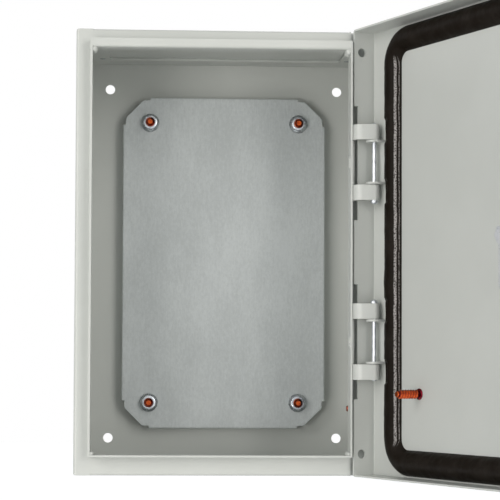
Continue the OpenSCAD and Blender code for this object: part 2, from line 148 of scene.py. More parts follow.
class SurfaceGraph(Graph):
    """Node graph of one surface finish."""

    def __init__(self, name: str) -> None:
        """Make an empty material with a principled shader.

        Args:
            name: Name of the material.
        """
        self.material = bpy.data.materials.new(name)
        self.material.use_nodes = True
        super().__init__(self.material.node_tree)
        self.output = self.add("ShaderNodeOutputMaterial")
        self.shader = self.add("ShaderNodeBsdfPrincipled")
        self.tree.links.new(self.shader.outputs[0], self.output.inputs[0])
        self.place = self.add("ShaderNodeTexCoord").outputs["Object"]

    def stretched(
        self, scale: Point, turn: Point = (0.0, 0.0, 0.0), shift: Point = (0.0, 0.0, 0.0)
    ) -> Socket:
        """Return the object's coordinates, stretched, turned and moved.

        Args:
            scale: Factor on each axis.
            turn: Rotation in radians.
            shift: Offset after the scale.

        Returns:
            The vector socket.
        """
        inputs = {"Vector": self.place, "Scale": scale, "Rotation": turn, "Location": shift}
        return self.part("ShaderNodeMapping", inputs)

    def noise(
        self, size_mm: float, detail: float = 2.0, rough: float = 0.5, at: Socket | None = None
    ) -> Socket:
        """Return noise whose features are about one size.

        Args:
            size_mm: Size of a feature.
            detail: Octaves.
            rough: Weight of the finer octaves.
            at: Coordinates, or the object's own.

        Returns:
            The value socket, from 0 to 1.
        """
        where = at or self.place
        inputs = {"Vector": where, "Scale": 1000.0 / size_mm, "Detail": detail, "Roughness": rough}
        return self.add("ShaderNodeTexNoise", inputs).outputs["Fac"]

    def fade(
        self, value: Socket, low: float, high: float, to_low: float = 0.0, to_high: float = 1.0
    ) -> Socket:
        """Map a value smoothly from one range to another.

        Args:
            value: The value.
            low: Where the fade starts.
            high: Where it ends.
            to_low: Result at the start.
            to_high: Result at the end.

        Returns:
            The value socket.
        """
        inputs = {0: value, 1: low, 2: high, 3: to_low, 4: to_high}
        return self.part("ShaderNodeMapRange", inputs, interpolation_type="SMOOTHSTEP")

    def stored(self, name: str) -> Socket:
        """Return a value stored on the mesh's points."""
        return self.add("ShaderNodeAttribute", attribute_name=name).outputs["Fac"]

    def tint(self, factor: Socket, first: Any, second: Any) -> Socket:
        """Blend two colours.

        Args:
            factor: Share of the second colour.
            first: Colour at 0, as linear RGB or a socket.
            second: Colour at 1.

        Returns:
            The colour socket.
        """
        inputs: dict[int | str, Any] = {0: factor}
        for key, colour in ((6, first), (7, second)):
            inputs[key] = colour if isinstance(colour, Socket) else (*colour, OPAQUE)
        return self.add("ShaderNodeMix", inputs, data_type="RGBA").outputs[2]

    def bump(self, height: Socket, depth_mm: float, under: Socket | None = None) -> Socket:
        """Return a normal raised by a height pattern.

        Args:
            height: Pattern from 0 to 1.
            depth_mm: Height of the full range.
            under: A normal to add to.

        Returns:
            The normal socket.
        """
        inputs: dict[int | str, Any] = {"Height": height, "Distance": depth_mm * MM}
        if under is not None:
            inputs["Normal"] = under
        return self.part("ShaderNodeBump", inputs)

    def finish(self, **sockets: Any) -> Material:
        """Set or join the shader's inputs.

        Args:
            sockets: Values or sockets by input name, with underscores for spaces.

        Returns:
            The finished material.
        """
        for name, value in sockets.items():
            target = self.shader.inputs[name.replace("_", " ")]
            if isinstance(value, Socket):
                self.tree.links.new(value, target)
            elif isinstance(value, tuple):
                target.default_value = (*value, OPAQUE)
            else:
                target.default_value = value
        return self.material


# ---- Finishes -------------------------------------------------------------------------


@dataclass(frozen=True)
class PowderCoat:
    """Light grey powder coat with a fine orange-peel skin."""

    name: str = "grey_powder_coat"
    light: Colour = (0.597, 0.613, 0.588)
    shade: Colour = (0.577, 0.593, 0.568)
    speck: Colour = (0.48, 0.50, 0.48)
    cloud_mm: float = 55.0
    speck_mm: float = 0.5
    peel_mm: float = 1.1
    grain_mm: float = 0.32
    peel_depth_mm: float = 0.022
    grain_share: float = 0.22

    def material(self) -> Material:
        """Build the coat.

        Returns:
            Its node material.
        """
        graph = SurfaceGraph(self.name)
        clouds = graph.noise(self.cloud_mm, detail=3.0)
        specks = graph.noise(self.speck_mm, detail=1.0)
        colour = graph.tint(graph.fade(clouds, 0.3, 0.7), self.shade, self.light)
        colour = graph.tint(graph.fade(specks, 0.66, 0.8, 0.0, 0.25), colour, self.speck)
        peel = graph.noise(self.peel_mm)
        grain = graph.noise(self.grain_mm, detail=1.0)
        normal = graph.bump(peel, self.peel_depth_mm)
        normal = graph.bump(grain, self.peel_depth_mm * self.grain_share, under=normal)
        rough = graph.fade(peel, 0.25, 0.75, 0.28, 0.38)
        return graph.finish(Base_Color=colour, Roughness=rough, Normal=normal)


@dataclass(frozen=True)
class Galvanised:
    """Zinc-coated sheet with vertical rolling grain, faint clouds and fine scratches."""

    name: str = "galvanised_sheet"
    light: Colour = (0.572, 0.602, 0.606)
    dark: Colour = (0.468, 0.496, 0.500)
    scratch: Colour = (0.68, 0.71, 0.72)
    line_mm: float = 1.1
    gap_mm: float = 26.0
    grain_mm: float = 0.8
    cloud_mm: float = 34.0
    mottle_mm: float = 1.4

    def scratches(self, graph: SurfaceGraph, turn: float, width: float, shift: float) -> Socket:
        """Draw thin broken lines in one direction.

        Args:
            graph: The material's graph.
            turn: Direction of the lines, in radians from the vertical.
            width: How much of the sheet they take.
            shift: Offset that gives another set.

        Returns:
            The mask socket.
        """
        along = graph.stretched((1.0, 1.0, 0.09), (0.0, turn, 0.0), (shift, 0.0, shift))
        lines = graph.noise(self.line_mm, detail=0.0, at=along)
        aside = graph.stretched((1.0, 1.0, 1.0), shift=(0, shift, 0))
        gaps = graph.noise(self.gap_mm, detail=1.0, at=aside)
        thin = graph.fade(lines, 0.80 - width, 0.83 - width)
        return graph.share(thin, graph.fade(gaps, 0.52, 0.62))

    def material(self) -> Material:
        """Build the sheet's surface.

        Returns:
            Its node material.
        """
        graph = SurfaceGraph(self.name)
        grain = graph.noise(self.grain_mm, 2.0, 0.7, at=graph.stretched((1.0, 1.0, 0.10)))
        clouds = graph.noise(self.cloud_mm, 4.0, 0.6, at=graph.stretched((1.0, 1.0, 0.5)))
        mottle = graph.noise(self.mottle_mm, 3.0, 0.75, at=graph.stretched((1.0, 1.0, 0.6)))
        tone = graph.maths("ADD", graph.share(clouds, 0.42), graph.share(mottle, 0.40))
        tone = graph.maths("ADD", tone, graph.share(grain, 0.18))
        colour = graph.tint(graph.fade(tone, 0.36, 0.64), self.dark, self.light)
        upright = self.scratches(graph, 0.03, 0.05, 3.1)
        marks = graph.maths("MAXIMUM", upright, self.scratches(graph, -0.05, 0.03, 7.7))
        colour = graph.tint(graph.share(marks, 0.22), colour, self.scratch)
        rough = graph.fade(tone, 0.35, 0.65, 0.55, 0.45)
        normal = graph.bump(grain, 0.008)
        normal = graph.bump(marks, 0.01, under=normal)
        return graph.finish(Base_Color=colour, Metallic=0.12, Roughness=rough, Normal=normal)


@dataclass(frozen=True)
class PlatedMetal:
    """Bright plated steel with a slightly uneven, lightly handled surface."""

    name: str
    light: Colour
    dark: Colour
    roughness: float
    streak_mm: float = 0.6
    cloud_mm: float = 4.5

    def material(self) -> Material:
        """Build the plating.

        Returns:
            Its node material.
        """
        graph = SurfaceGraph(self.name)
        clouds = graph.noise(self.cloud_mm, detail=3.0)
        fine = graph.noise(self.streak_mm)
        colour = graph.tint(graph.fade(clouds, 0.35, 0.65), self.dark, self.light)
        rough = graph.fade(fine, 0.3, 0.7, self.roughness - 0.05, self.roughness + 0.12)
        normal = graph.bump(fine, 0.006)
        return graph.finish(Base_Color=colour, Metallic=1.0, Roughness=rough, Normal=normal)


@dataclass(frozen=True)
class HighlightedCopper:
    """Lacquered copper plating, deep red, with a painted highlight on the thread crests and tips.
    """

    name: str = "copper_plate"
    deep: Colour = (0.20, 0.016, 0.010)
    shade: Colour = (0.10, 0.006, 0.012)
    bright: Colour = (0.54, 0.110, 0.026)
    cloud_mm: float = 3.5
    spot_mm: float = 1.1

    def material(self) -> Material:
        """Build the plating.

        Returns:
            Its node material, which reads the point attribute that holds the painted highlight.
        """
        graph = SurfaceGraph(self.name)
        clouds = graph.noise(self.cloud_mm)
        colour = graph.tint(graph.fade(clouds, 0.40, 0.62), self.shade, self.deep)
        # painted highlight: the stored crest-and-tip value lightens the copper towards its bright
        # colour
        spots = graph.fade(graph.noise(self.spot_mm), 0.30, 0.60, 0.45, 1.0)
        painted_highlight = graph.share(graph.stored("worn"), spots)
        colour = graph.tint(painted_highlight, colour, self.bright)
        return graph.finish(Base_Color=colour, Metallic=1.0, Roughness=0.20)


@dataclass(frozen=True)
class FoamSkin:
    """Poured foam seal with a satin brown-black, open-pored skin and a painted highlight streak
    along its flank.
    """

    name: str = "foam_skin"
    skin: Colour = (0.0085, 0.0058, 0.0038)
    dusty: Colour = (0.0150, 0.0115, 0.0090)
    painted_highlight: Colour = (0.420, 0.395, 0.385)
    second_line_at: float = -1.55
    cloud_mm: float = 14.0
    pore_mm: float = 1.5
    grit_mm: float = 0.75
    ripple_mm: float = 3.0
    gloss: float = 0.06

    def material(self) -> Material:
        """Build the foam's skin.

        Returns:
            Its node material, which reads the attributes "across", millimetres from the
            painted highlight line, and "along", which fades the line out at its ends.
        """
        graph = SurfaceGraph(self.name)
        clouds = graph.noise(self.cloud_mm, detail=4.0, rough=0.65)
        colour = graph.tint(graph.fade(clouds, 0.42, 0.68), self.skin, self.dusty)
        across = graph.stored("across")
        # painted highlight: a light streak and a second thin line along the flank, broken up by
        # grit noise
        band = graph.fade(graph.maths("ABSOLUTE", across), 0.45, 0.80, 1.0, 0.0)
        aside = graph.maths("ABSOLUTE", graph.maths("SUBTRACT", across, self.second_line_at))
        second_line = graph.fade(aside, 0.05, 0.25, 0.65, 0.0)
        highlight_streak = graph.share(graph.maths("MAXIMUM", band, second_line), graph.stored("along"))
        grit = graph.noise(self.grit_mm, rough=0.75)
        broken_highlight = graph.share(highlight_streak, graph.fade(grit, 0.38, 0.56, 0.08, 1.0))
        colour = graph.tint(broken_highlight, colour, self.painted_highlight)
        normal = graph.bump(graph.noise(self.ripple_mm), 0.10)
        pores = graph.noise(self.pore_mm, detail=3.0, rough=0.75)
        normal = graph.bump(pores, 0.05, under=normal)
        satin = graph.fade(clouds, 0.3, 0.7, 0.36, 0.50)
        rough = graph.maths("ADD", satin, graph.share(broken_highlight, 0.4))
        surface = {"Base_Color": colour, "Roughness": rough, "Normal": normal}
        return graph.finish(**surface, Specular_IOR_Level=self.gloss)


@dataclass(frozen=True)
class Rubber:
    """Matt moulded or foamed rubber."""

    name: str
    dark: Colour
    pale: Colour
    bloom_mm: float = 6.0
    grain_mm: float = 0.6

    def material(self) -> Material:
        """Build the rubber.

        Returns:
            Its node material.
        """
        graph = SurfaceGraph(self.name)
        bloom = graph.noise(self.bloom_mm, detail=3.0)
        colour = graph.tint(graph.fade(bloom, 0.4, 0.7), self.dark, self.pale)
        normal = graph.bump(graph.noise(self.grain_mm), 0.02)
        return graph.finish(Base_Color=colour, Roughness=0.62, Normal=normal)


@dataclass(frozen=True)
class Coat:
    """A finish and the slot of the record that it fills."""

    material: Material
    slot: Slot


class Finishes:
    """The enclosure's finishes, each built once."""

    def __init__(self) -> None:
        """Build every finish."""
        zinc = PlatedMetal("bright_zinc", (0.53, 0.555, 0.58), (0.35, 0.37, 0.40), 0.27)
        pin = PlatedMetal("ground_pin", (0.66, 0.69, 0.72), (0.48, 0.51, 0.54), 0.36)
        cast = PlatedMetal(
            "satin_die_cast", (0.60, 0.61, 0.63), (0.51, 0.52, 0.54), 0.30, cloud_mm=9.0
        )
        rubber = Rubber("matt_rubber", (0.012, 0.012, 0.013), (0.026, 0.026, 0.027))
        pale = Rubber("grey_cell_foam", (0.40, 0.42, 0.40), (0.50, 0.52, 0.50))
        self.paint = Coat(PowderCoat().material(), Slot.PAINT)
        self.galvanised = Coat(Galvanised().material(), Slot.GALVANISED)
        self.zinc = Coat(zinc.material(), Slot.ZINC)
        self.pin_steel = Coat(pin.material(), Slot.ZINC)
        self.die_cast = Coat(cast.material(), Slot.ZINC)
        self.copper = Coat(HighlightedCopper().material(), Slot.COPPER)
        self.foam = Coat(FoamSkin().material(), Slot.FOAM)
        self.rubber = Coat(rubber.material(), Slot.RUBBER)
        self.grey_foam = Coat(pale.material(), Slot.GREY_FOAM)


# ---- Shapes ---------------------------------------------------------------------------


def placed(name: str, data: Any) -> Object:
    """Put a mesh, a lamp or a camera into the scene and return its object."""
    thing = bpy.data.objects.new(name, data)
    bpy.context.scene.collection.objects.link(thing)
    return thing


def add_piece(mesh: Mesh, name: str, body: Body, coat: Coat, *replaced: str) -> Object:
    """Put a finished mesh into the scene as a piece of one body.

    Args:
        mesh: The mesh, already in its place.
        name: Name of the piece.
        body: The body it moves with.
        coat: Its finish; not used.
        replaced: Plain solids that it stands for.

    Returns:
        The piece.
    """
    mesh.name = name
    piece = placed(name, mesh)
    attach(piece, body.value)
    if replaced:
        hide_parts(*replaced)
    LOG.info("%s: %d faces on %s", name, len(mesh.polygons), body.value)
    return piece


def mesh_of(form: Form, coat: Coat, name: str) -> Mesh:
    """Turn a form into a mesh with one finish.

    Args:
        form: The form, which is freed.
        coat: Its finish.
        name: Name of the mesh.

    Returns:
        The mesh.
    """
    for face in form.faces:
        face.material_index = 0
    mesh = bpy.data.meshes.new(name)
    form.to_mesh(mesh)
    form.free()
    mesh.materials.append(coat.material)
    return mesh


def shade(mesh: Mesh, sharp_degrees: float) -> None:
    """Shade a mesh smooth except over its sharp edges.

    Args:
        mesh: The mesh.
        sharp_degrees: Angle from which an edge stays sharp.
    """
    mesh.shade_smooth()
    mesh.set_sharp_from_angle(angle=math.radians(sharp_degrees))


def closed_mesh(form: Form, coat: Coat, name: str, sharp_degrees: float) -> Mesh:
    """Turn a closed form into a shaded mesh whose faces look outwards.

    Args:
        form: The form, which is freed.
        coat: Its finish.
        name: Name of the mesh.
        sharp_degrees: Angle from which an edge stays sharp.

    Returns:
        The mesh.
    """
    bmesh.ops.recalc_face_normals(form, faces=form.faces)
    mesh = mesh_of(form, coat, name)
    shade(mesh, sharp_degrees)
    return mesh


def form_of(*meshes: Mesh) -> Form:
    """Gather meshes in one form.

    Args:
        meshes: The meshes, which are removed.

    Returns:
        The form.
    """
    form = bmesh.new()
    for mesh in meshes:
        form.from_mesh(mesh)
        bpy.data.meshes.remove(mesh)
    return form


def evaluated(host: Object) -> Mesh:
    """Run an object's modifiers.

    Args:
        host: The object in the scene, which is removed with its mesh.

    Returns:
        The mesh that they make.
    """
    graph = bpy.context.evaluated_depsgraph_get()
    mesh = bpy.data.meshes.new_from_object(
        host.evaluated_get(graph), preserve_all_data_layers=True, depsgraph=graph
    )
    source = host.data
    host.modifiers.clear()
    bpy.data.objects.remove(host)
    bpy.data.meshes.remove(source)
    return mesh


def turned(
    form: Form,
    profile: Profile,
    place: Matrix,
    sides: int = 72,
    reach: Callable[[float], float] | None = None,
) -> None:
    """Turn a profile about +Z into a form, held inside a plan outline if one is given.

    Args:
        form: Form to add to.
        profile: Radius and height of each point, from one pole or rim to the other, or all
            round the section where there is an outline.
        place: Matrix from the profile's frame to the form's.
        sides: Number of sides.
        reach: The outline's radius at an angle, or none.
    """
    angles = [2 * math.pi * k / sides for k in range(sides)]
    rings: list[list[bmesh.types.BMVert]] = []
    for radius, height in profile:
        ring = []
        for angle in angles if radius > POLE else angles[:1]:
            held = min(radius, reach(angle)) if reach else radius
            spot = Vector((held * math.cos(angle), held * math.sin(angle), height))
            ring.append(form.verts.new(place @ spot))
        rings.append(ring)
    following = rings[1:] + (rings[:1] if reach else [])
    for one, two in zip(rings, following):
        for k in range(sides):
            n = (k + 1) % sides
            corners = [one[k % len(one)], one[n % len(one)], two[n % len(two)], two[k % len(two)]]
            unique = list(dict.fromkeys(corners))
            if len(unique) > 2:
                form.faces.new(unique)


def frame_at(origin: Point, direction: Point) -> Matrix:
    """Return the matrix that takes +Z to a direction and the origin to a point.

    Args:
        origin: The point.
        direction: Where +Z goes.

    Returns:
        The matrix.
    """
    turn = Vector((0, 0, 1)).rotation_difference(Vector(direction)).to_matrix().to_4x4()
    return Matrix.Translation(Vector(origin)) @ turn


@dataclass(frozen=True)
class Swing:
    """The door's swing about its hinge pins, from closed to the drawn opening."""

    pivot_x: float = 95.0 * MM
    pivot_y: float = -140.8 * MM
    degrees: float = 116.0

    @property
    def matrix(self) -> Matrix:
        """Matrix from the closed door to the open one."""
        pivot = Vector((self.pivot_x, self.pivot_y, 0.0))
        turn = Matrix.Rotation(math.radians(self.degrees), 4, "Z")
        return Matrix.Translation(pivot) @ turn @ Matrix.Translation(-pivot)


SWING = Swing()
HINGE_Z = 60.0 * MM  # height of the hinges above and below the middle
DOOR_PLATE_Y = -146.9 * MM  # inner face of the closed door's plate


class Recipe(Graph):
    """A geometry node tree with named sizes, run once into a plain mesh."""

    def __init__(self, name: str) -> None:
        """Make an empty tree with a mesh going in and one coming out.

        Args:
            name: Name of the tree.
        """
        super().__init__(bpy.data.node_groups.new(name, "GeometryNodeTree"))
        face = self.tree.interface
        face.new_socket("Geometry", in_out="INPUT", socket_type="NodeSocketGeometry")
        face.new_socket("Geometry", in_out="OUTPUT", socket_type="NodeSocketGeometry")
        self.source = self.add("NodeGroupInput")
        self.result = self.add("NodeGroupOutput")
        self.values: dict[str, Any] = {}

    def size(self, name: str, value: Any, kind: str = "NodeSocketFloat") -> Socket:
        """Add a named input and its value.

        Args:
            name: Name of the input.
            value: Value it is given before the first evaluation.
            kind: Type of its socket.

        Returns:
            The socket inside the tree.
        """
        socket = self.tree.interface.new_socket(name, in_out="INPUT", socket_type=kind)
        self.values[socket.identifier] = value
        return self.source.outputs[name]

    def points(self) -> Socket:
        """Return the mesh that goes in."""
        return self.source.outputs["Geometry"]

    def vector(self, x: Any = 0.0, y: Any = 0.0, z: Any = 0.0) -> Socket:
        """Return a vector made from three sockets or numbers."""
        return self.part("ShaderNodeCombineXYZ", {0: x, 1: y, 2: z})

    def drawn(self, low: Any, high: Any, seed: int) -> Socket:
        """Return a random number between two limits, drawn for each point."""
        inputs = {2: low, 3: high, "Seed": seed}
        return self.add("FunctionNodeRandomValue", inputs, data_type="FLOAT").outputs[1]

    def moved(self, shape: Socket, offset: Any) -> Socket:
        """Return a shape moved by an offset."""
        return self.part("GeometryNodeTransform", {"Geometry": shape, "Translation": offset})

    def bake(
        self,
        shape: Socket,
        coat: Coat,
        places: Sequence[Point] = ((0.0, 0.0, 0.0),),
        edges: Sequence[tuple[int, int]] = (),
    ) -> Mesh:
        """Run the tree and return its result as a plain mesh.

        Args:
            shape: The socket that holds the result.
            coat: Its finish.
            places: Points of the mesh that goes in.
            edges: Edges between those points.

        Returns:
            The mesh.
        """
        real = self.part("GeometryNodeRealizeInstances", {0: shape})
        made = self.part("GeometryNodeSetMaterial", {"Geometry": real, "Material": coat.material})
        self.tree.links.new(made, self.result.inputs[0])
        source = bpy.data.meshes.new(self.tree.name)
        source.from_pydata([tuple(p) for p in places], list(edges), [])
        host = placed(self.tree.name, source)
        modifier = host.modifiers.new("recipe", "NODES")
        modifier.node_group = self.tree
        for identifier, value in self.values.items():
            modifier[identifier] = value
        return evaluated(host)


@dataclass(frozen=True)
class Thread:
    """The ridge of a rolled screw thread, which stands on a plain rod or tube.

    ``flat`` is half the width over two flats, by default too wide to cut any.
    """

    radius: float
    length: float
    pitch: float
    depth: float
    start: float
    flat: float = 1.0
    turn_sides: int = 28
    thickness: float = 0.52

    def recipe(self, name: str) -> tuple[Recipe, Socket]:
        """Build the thread along +Z.

        Args:
            name: Name of the tree.

        Returns:
            The tree and the socket that holds the thread.
        """
        tree = Recipe(name)
        radius = tree.size("Radius", self.radius)
        length = tree.size("Length", self.length)
        pitch = tree.size("Pitch", self.pitch)
        depth = tree.size("Depth", self.depth)
        flat = tree.size("Half width over flats", self.flat)
        start = tree.size("Start", self.start)
        rise = tree.maths("SUBTRACT", length, pitch)
        middle = tree.maths("SUBTRACT", radius, depth)
        turns = tree.maths("DIVIDE", rise, pitch)
        helix = tree.part(
            "GeometryNodeCurveSpiral",
            {
                "Resolution": self.turn_sides,
                "Rotations": turns,
                "Start Radius": middle,
                "End Radius": middle,
                "Height": rise,
            },
        )
        upright = tree.part("GeometryNodeSetCurveNormal", {"Curve": helix}, mode="Z_UP")
        diamond = {"Resolution": 4, "Radius": depth}
        ridge = tree.part("GeometryNodeCurvePrimitiveCircle", diamond, mode="RADIUS")
        slim = tree.maths("DIVIDE", tree.share(pitch, self.thickness), depth)
        section = {"Geometry": ridge, "Scale": tree.vector(1.0, slim, 1.0)}
        profile = tree.part("GeometryNodeTransform", section)
        sweep = {"Curve": upright, "Profile Curve": profile, "Fill Caps": True}
        crest = tree.part("GeometryNodeCurveToMesh", sweep)
        lifted = tree.moved(crest, tree.vector(z=tree.share(pitch, 0.5)))
        whole = tree.moved(lifted, tree.vector(z=start))
        place = tree.part("GeometryNodeInputPosition")
        x, y, z = tree.add("ShaderNodeSeparateXYZ", {0: place}).outputs
        low = tree.share(flat, -1.0)
        held = tree.maths("MINIMUM", tree.maths("MAXIMUM", y, low), flat)
        cut = {"Geometry": whole, "Position": tree.vector(x, held, z)}
        return tree, tree.part("GeometryNodeSetPosition", cut)

    def mesh(self, name: str, coat: Coat, places: Sequence[Point], direction: Point) -> Mesh:
        """Build the thread at several places.

        Args:
            name: Name of the tree.
            coat: Its finish.
            places: Where each thread starts.
            direction: Where each thread points.

        Returns:
            The mesh of them all.
        """
        tree, shape = self.recipe(name)
        return tree.bake(scatter(tree, shape, direction), coat, places)


def scatter(
    tree: Recipe, shape: Socket, direction: Point, spin: float = 0.0, seed: int = 0
) -> Socket:
    """Put a shape that stands on +Z at every point that goes into a tree.

    Args:
        tree: The tree.
        shape: The shape's socket.
        direction: Where its +Z goes.
        spin: Largest random turn about its own axis, in radians.
        seed: Seed of the random turns.

    Returns:
        The socket of the instances.
    """
    aim = tree.size("Direction", direction, "NodeSocketVector")
    turn = tree.part("FunctionNodeAlignRotationToVector", {"Vector": aim}, axis="Z")
    angle = tree.drawn(-spin, spin, seed)
    own = tree.part("FunctionNodeAxisAngleToRotation", {"Axis": (0.0, 0.0, 1.0), "Angle": angle})
    turns = {"Rotation": turn, "Rotate By": own}
    both = tree.part("FunctionNodeRotateRotation", turns, rotation_space="LOCAL")
    inputs = {"Points": tree.points(), "Instance": shape, "Rotation": both}
    return tree.part("GeometryNodeInstanceOnPoints", inputs)


@dataclass(frozen=True)
class WeldBead:
    """A short run of overlapping weld scales under the coat."""

    start: Point
    end: Point
    width: float
    step: float
    seed: int
    uneven: float = 0.35

    def mesh(self, coat: Coat) -> Mesh:
        """Build the bead.

        Args:
            coat: Its finish.

        Returns:
            The mesh.
        """
        tree = Recipe("weld_bead")
        width = tree.size("Width", self.width)
        step = tree.size("Step", self.step)
        uneven = tree.size("Unevenness", self.uneven)
        curve = tree.part("GeometryNodeMeshToCurve", {0: tree.points()})
        spaced = {"Curve": curve, "Length": step}
        row = tree.part("GeometryNodeResampleCurve", spaced, mode="LENGTH")
        ball = {"Radius": tree.share(width, 0.5), "Subdivisions": 3}
        scale = tree.part("GeometryNodeMeshIcoSphere", ball)
        factor = tree.drawn(tree.maths("SUBTRACT", 1.0, uneven), 1.0, self.seed)
        size = tree.vector(factor, factor, factor)
        inputs = {"Points": row, "Instance": scale, "Scale": size}
        beads = tree.part("GeometryNodeInstanceOnPoints", inputs)
        return tree.bake(beads, coat, (self.start, self.end), ((0, 1),))


@dataclass(frozen=True)
class SoftEdges:
    """Copies of plain solids with their sharp edges eased as paint or rolling leaves them."""

    width: float
    segments: int = 2
    sharp_degrees: float = 40.0
    same_point: float = 0.004 * MM
    flat_degrees: float = 0.6
    shade_degrees: float = 30.0

    def copy(self, node: str, coat: Coat) -> Mesh:
        """Build a softened copy.

        Args:
            node: The plain solid.
            coat: The copy's finish.

        Returns:
            The mesh, its normals weighted by face area.
        """
        form = bmesh.new()
        form.from_mesh(frame["nodes"][node].data)
        bmesh.ops.remove_doubles(form, verts=form.verts, dist=self.same_point)
        bmesh.ops.dissolve_limit(
            form,
            angle_limit=math.radians(self.flat_degrees),
            verts=form.verts,
            edges=form.edges,
        )
        sharp = [
            edge
            for edge in form.edges
            if len(edge.link_faces) == 2
            and math.degrees(edge.calc_face_angle(0.0)) > self.sharp_degrees
        ]
        bmesh.ops.bevel(
            form,
            geom=sharp,
            offset=self.width,
            offset_type="OFFSET",
            segments=self.segments,
            profile=0.5,
            affect="EDGES",
            clamp_overlap=False,
        )
        mesh = mesh_of(form, coat, node)
        shade(mesh, self.shade_degrees)
        host = placed("weighted", mesh)
        host.modifiers.new("weights", "WEIGHTED_NORMAL").keep_sharp = True
        return evaluated(host)

    def piece(self, node: str, name: str, body: Body, coat: Coat) -> None:
        """Put a softened copy in the place of a plain solid.

        Args:
            node: The plain solid.
            name: Name of the piece.
            body: The body it moves with.
            coat: Its finish.
        """
        add_piece(self.copy(node, coat), name, body, coat, node)


def dress(node: str, coat: Coat) -> None:
    """Give a plain solid its finish.

    Args:
        node: Name of the solid.
        coat: The finish.
    """
    solid = frame["nodes"][node]
    if not solid.material_slots:
        solid.data.materials.append(coat.material)
    for place in solid.material_slots:
        place.material = coat.material
    LOG.info("%s: dressed", node)


@dataclass(frozen=True)
class Hexagon:
    """Hexagonal prism on +Z, bored through, its corners turned off at the upper end."""

    apothem: float
    low: float
    high: float
    bore: float
    sink: float
    face_share: float = 0.96
    drop_share: float = 0.16
    steps: int = 4

    def add_to(self, form: Form, place: Matrix) -> None:
        """Add the prism to a form.

        Args:
            form: The form.
            place: Matrix from the prism's frame to the form's.
        """
        corner = self.apothem / math.cos(math.pi / 6)
        face = self.apothem * self.face_share
        drop = self.drop_share * self.apothem
        shares = [k / self.steps for k in range(self.steps, -1, -1)]
        rounded = [(face + (corner - face) * k, self.high - drop * k**1.5) for k in shares]
        bored = [
            (self.bore + self.sink, self.high),
            (self.bore, self.high - self.sink),
            (self.bore, self.low),
        ]
        sixth = math.pi / 3
        turned(
            form,
            [(corner, self.low), *rounded, *bored],
            place,
            reach=lambda angle: self.apothem / math.cos(angle % sixth - sixth / 2),
        )


@dataclass(frozen=True)
class WeldStud:
    """Copper-plated weld stud with a collar and a chamfered tip."""

    length: float
    radius: float = 3.0 * MM
    pitch: float = 2.0 * MM
    depth: float = 0.85 * MM
    collar: float = 0.7 * MM
    collar_height: float = 0.5 * MM
    neck_height: float = 1.1 * MM
    bare_start: float = 1.2 * MM
    crest_from: float = 0.80
    crest_fade: float = 0.18
    tip_highlight: float = 0.85
    tip_from: float = 0.6 * MM
    tip_fade: float = 0.3 * MM

    def mesh(self, name: str, coat: Coat, places: Sequence[Point], direction: Point) -> Mesh:
        """Build the studs.

        Args:
            name: Name of the mesh.
            coat: Its finish.
            places: Where each stands.
            direction: Where they point.

        Returns:
            The mesh of all studs.
        """
        run = self.length - 2 * self.bare_start
        thread = Thread(self.radius, run, self.pitch, self.depth, self.bare_start)
        form = form_of(thread.mesh(f"{name}_thread", coat, places, direction))
        root, rim, end = self.radius - self.depth, self.radius + self.collar, self.length
        profile = [
            (0.0, 0.0), (rim, 0.0), (rim, self.collar_height),
            (self.radius + 0.3 * MM, self.collar_height + 0.4 * MM), (root, self.neck_height),
            (root, end - 1.0 * MM), (root - 0.2 * MM, end - 0.3 * MM),
            (root - 0.5 * MM, end), (0.0, end),
        ]
        for place in places:
            turned(form, profile, frame_at(place, direction), sides=36)
        mesh = closed_mesh(form, coat, name, sharp_degrees=40.0)
        self.mark_highlights(mesh, places, Vector(direction))
        return mesh

    def mark_highlights(self, mesh: Mesh, places: Sequence[Point], axis: Vector) -> None:
        """Store the painted highlight on the thread crests and the tips.

        Args:
            mesh: The studs, given the attribute that holds the painted highlight.
            places: Where each stands.
            axis: Where they point.
        """
        worn = mesh.attributes.new("worn", "FLOAT", "POINT")
        for vertex in mesh.vertices:
            near = min(places, key=lambda place: (vertex.co - Vector(place)).cross(axis).length)
            offset = vertex.co - Vector(near)
            height = offset.dot(axis)
            share = offset.cross(axis).length / self.radius
            # painted highlight on the thread crests and on the stud tips
            crest = (share - self.crest_from) / self.crest_fade
            tip = (height - self.length + self.tip_from) / self.tip_fade
            if height < self.neck_height + 0.05 * MM:
                crest = 0.0
            painted_highlight = max(0.0, crest, min(tip, self.tip_highlight))
            worn.data[vertex.index].value = min(1.0, painted_highlight)


# ---- Sub-assemblies -------------------------------------------------------------------


@dataclass
class Assembly:
    """A sub-assembly that builds and dresses its own pieces."""

    finishes: Finishes

    def build(self) -> None:
        """Build the sub-assembly."""
        raise NotImplementedError


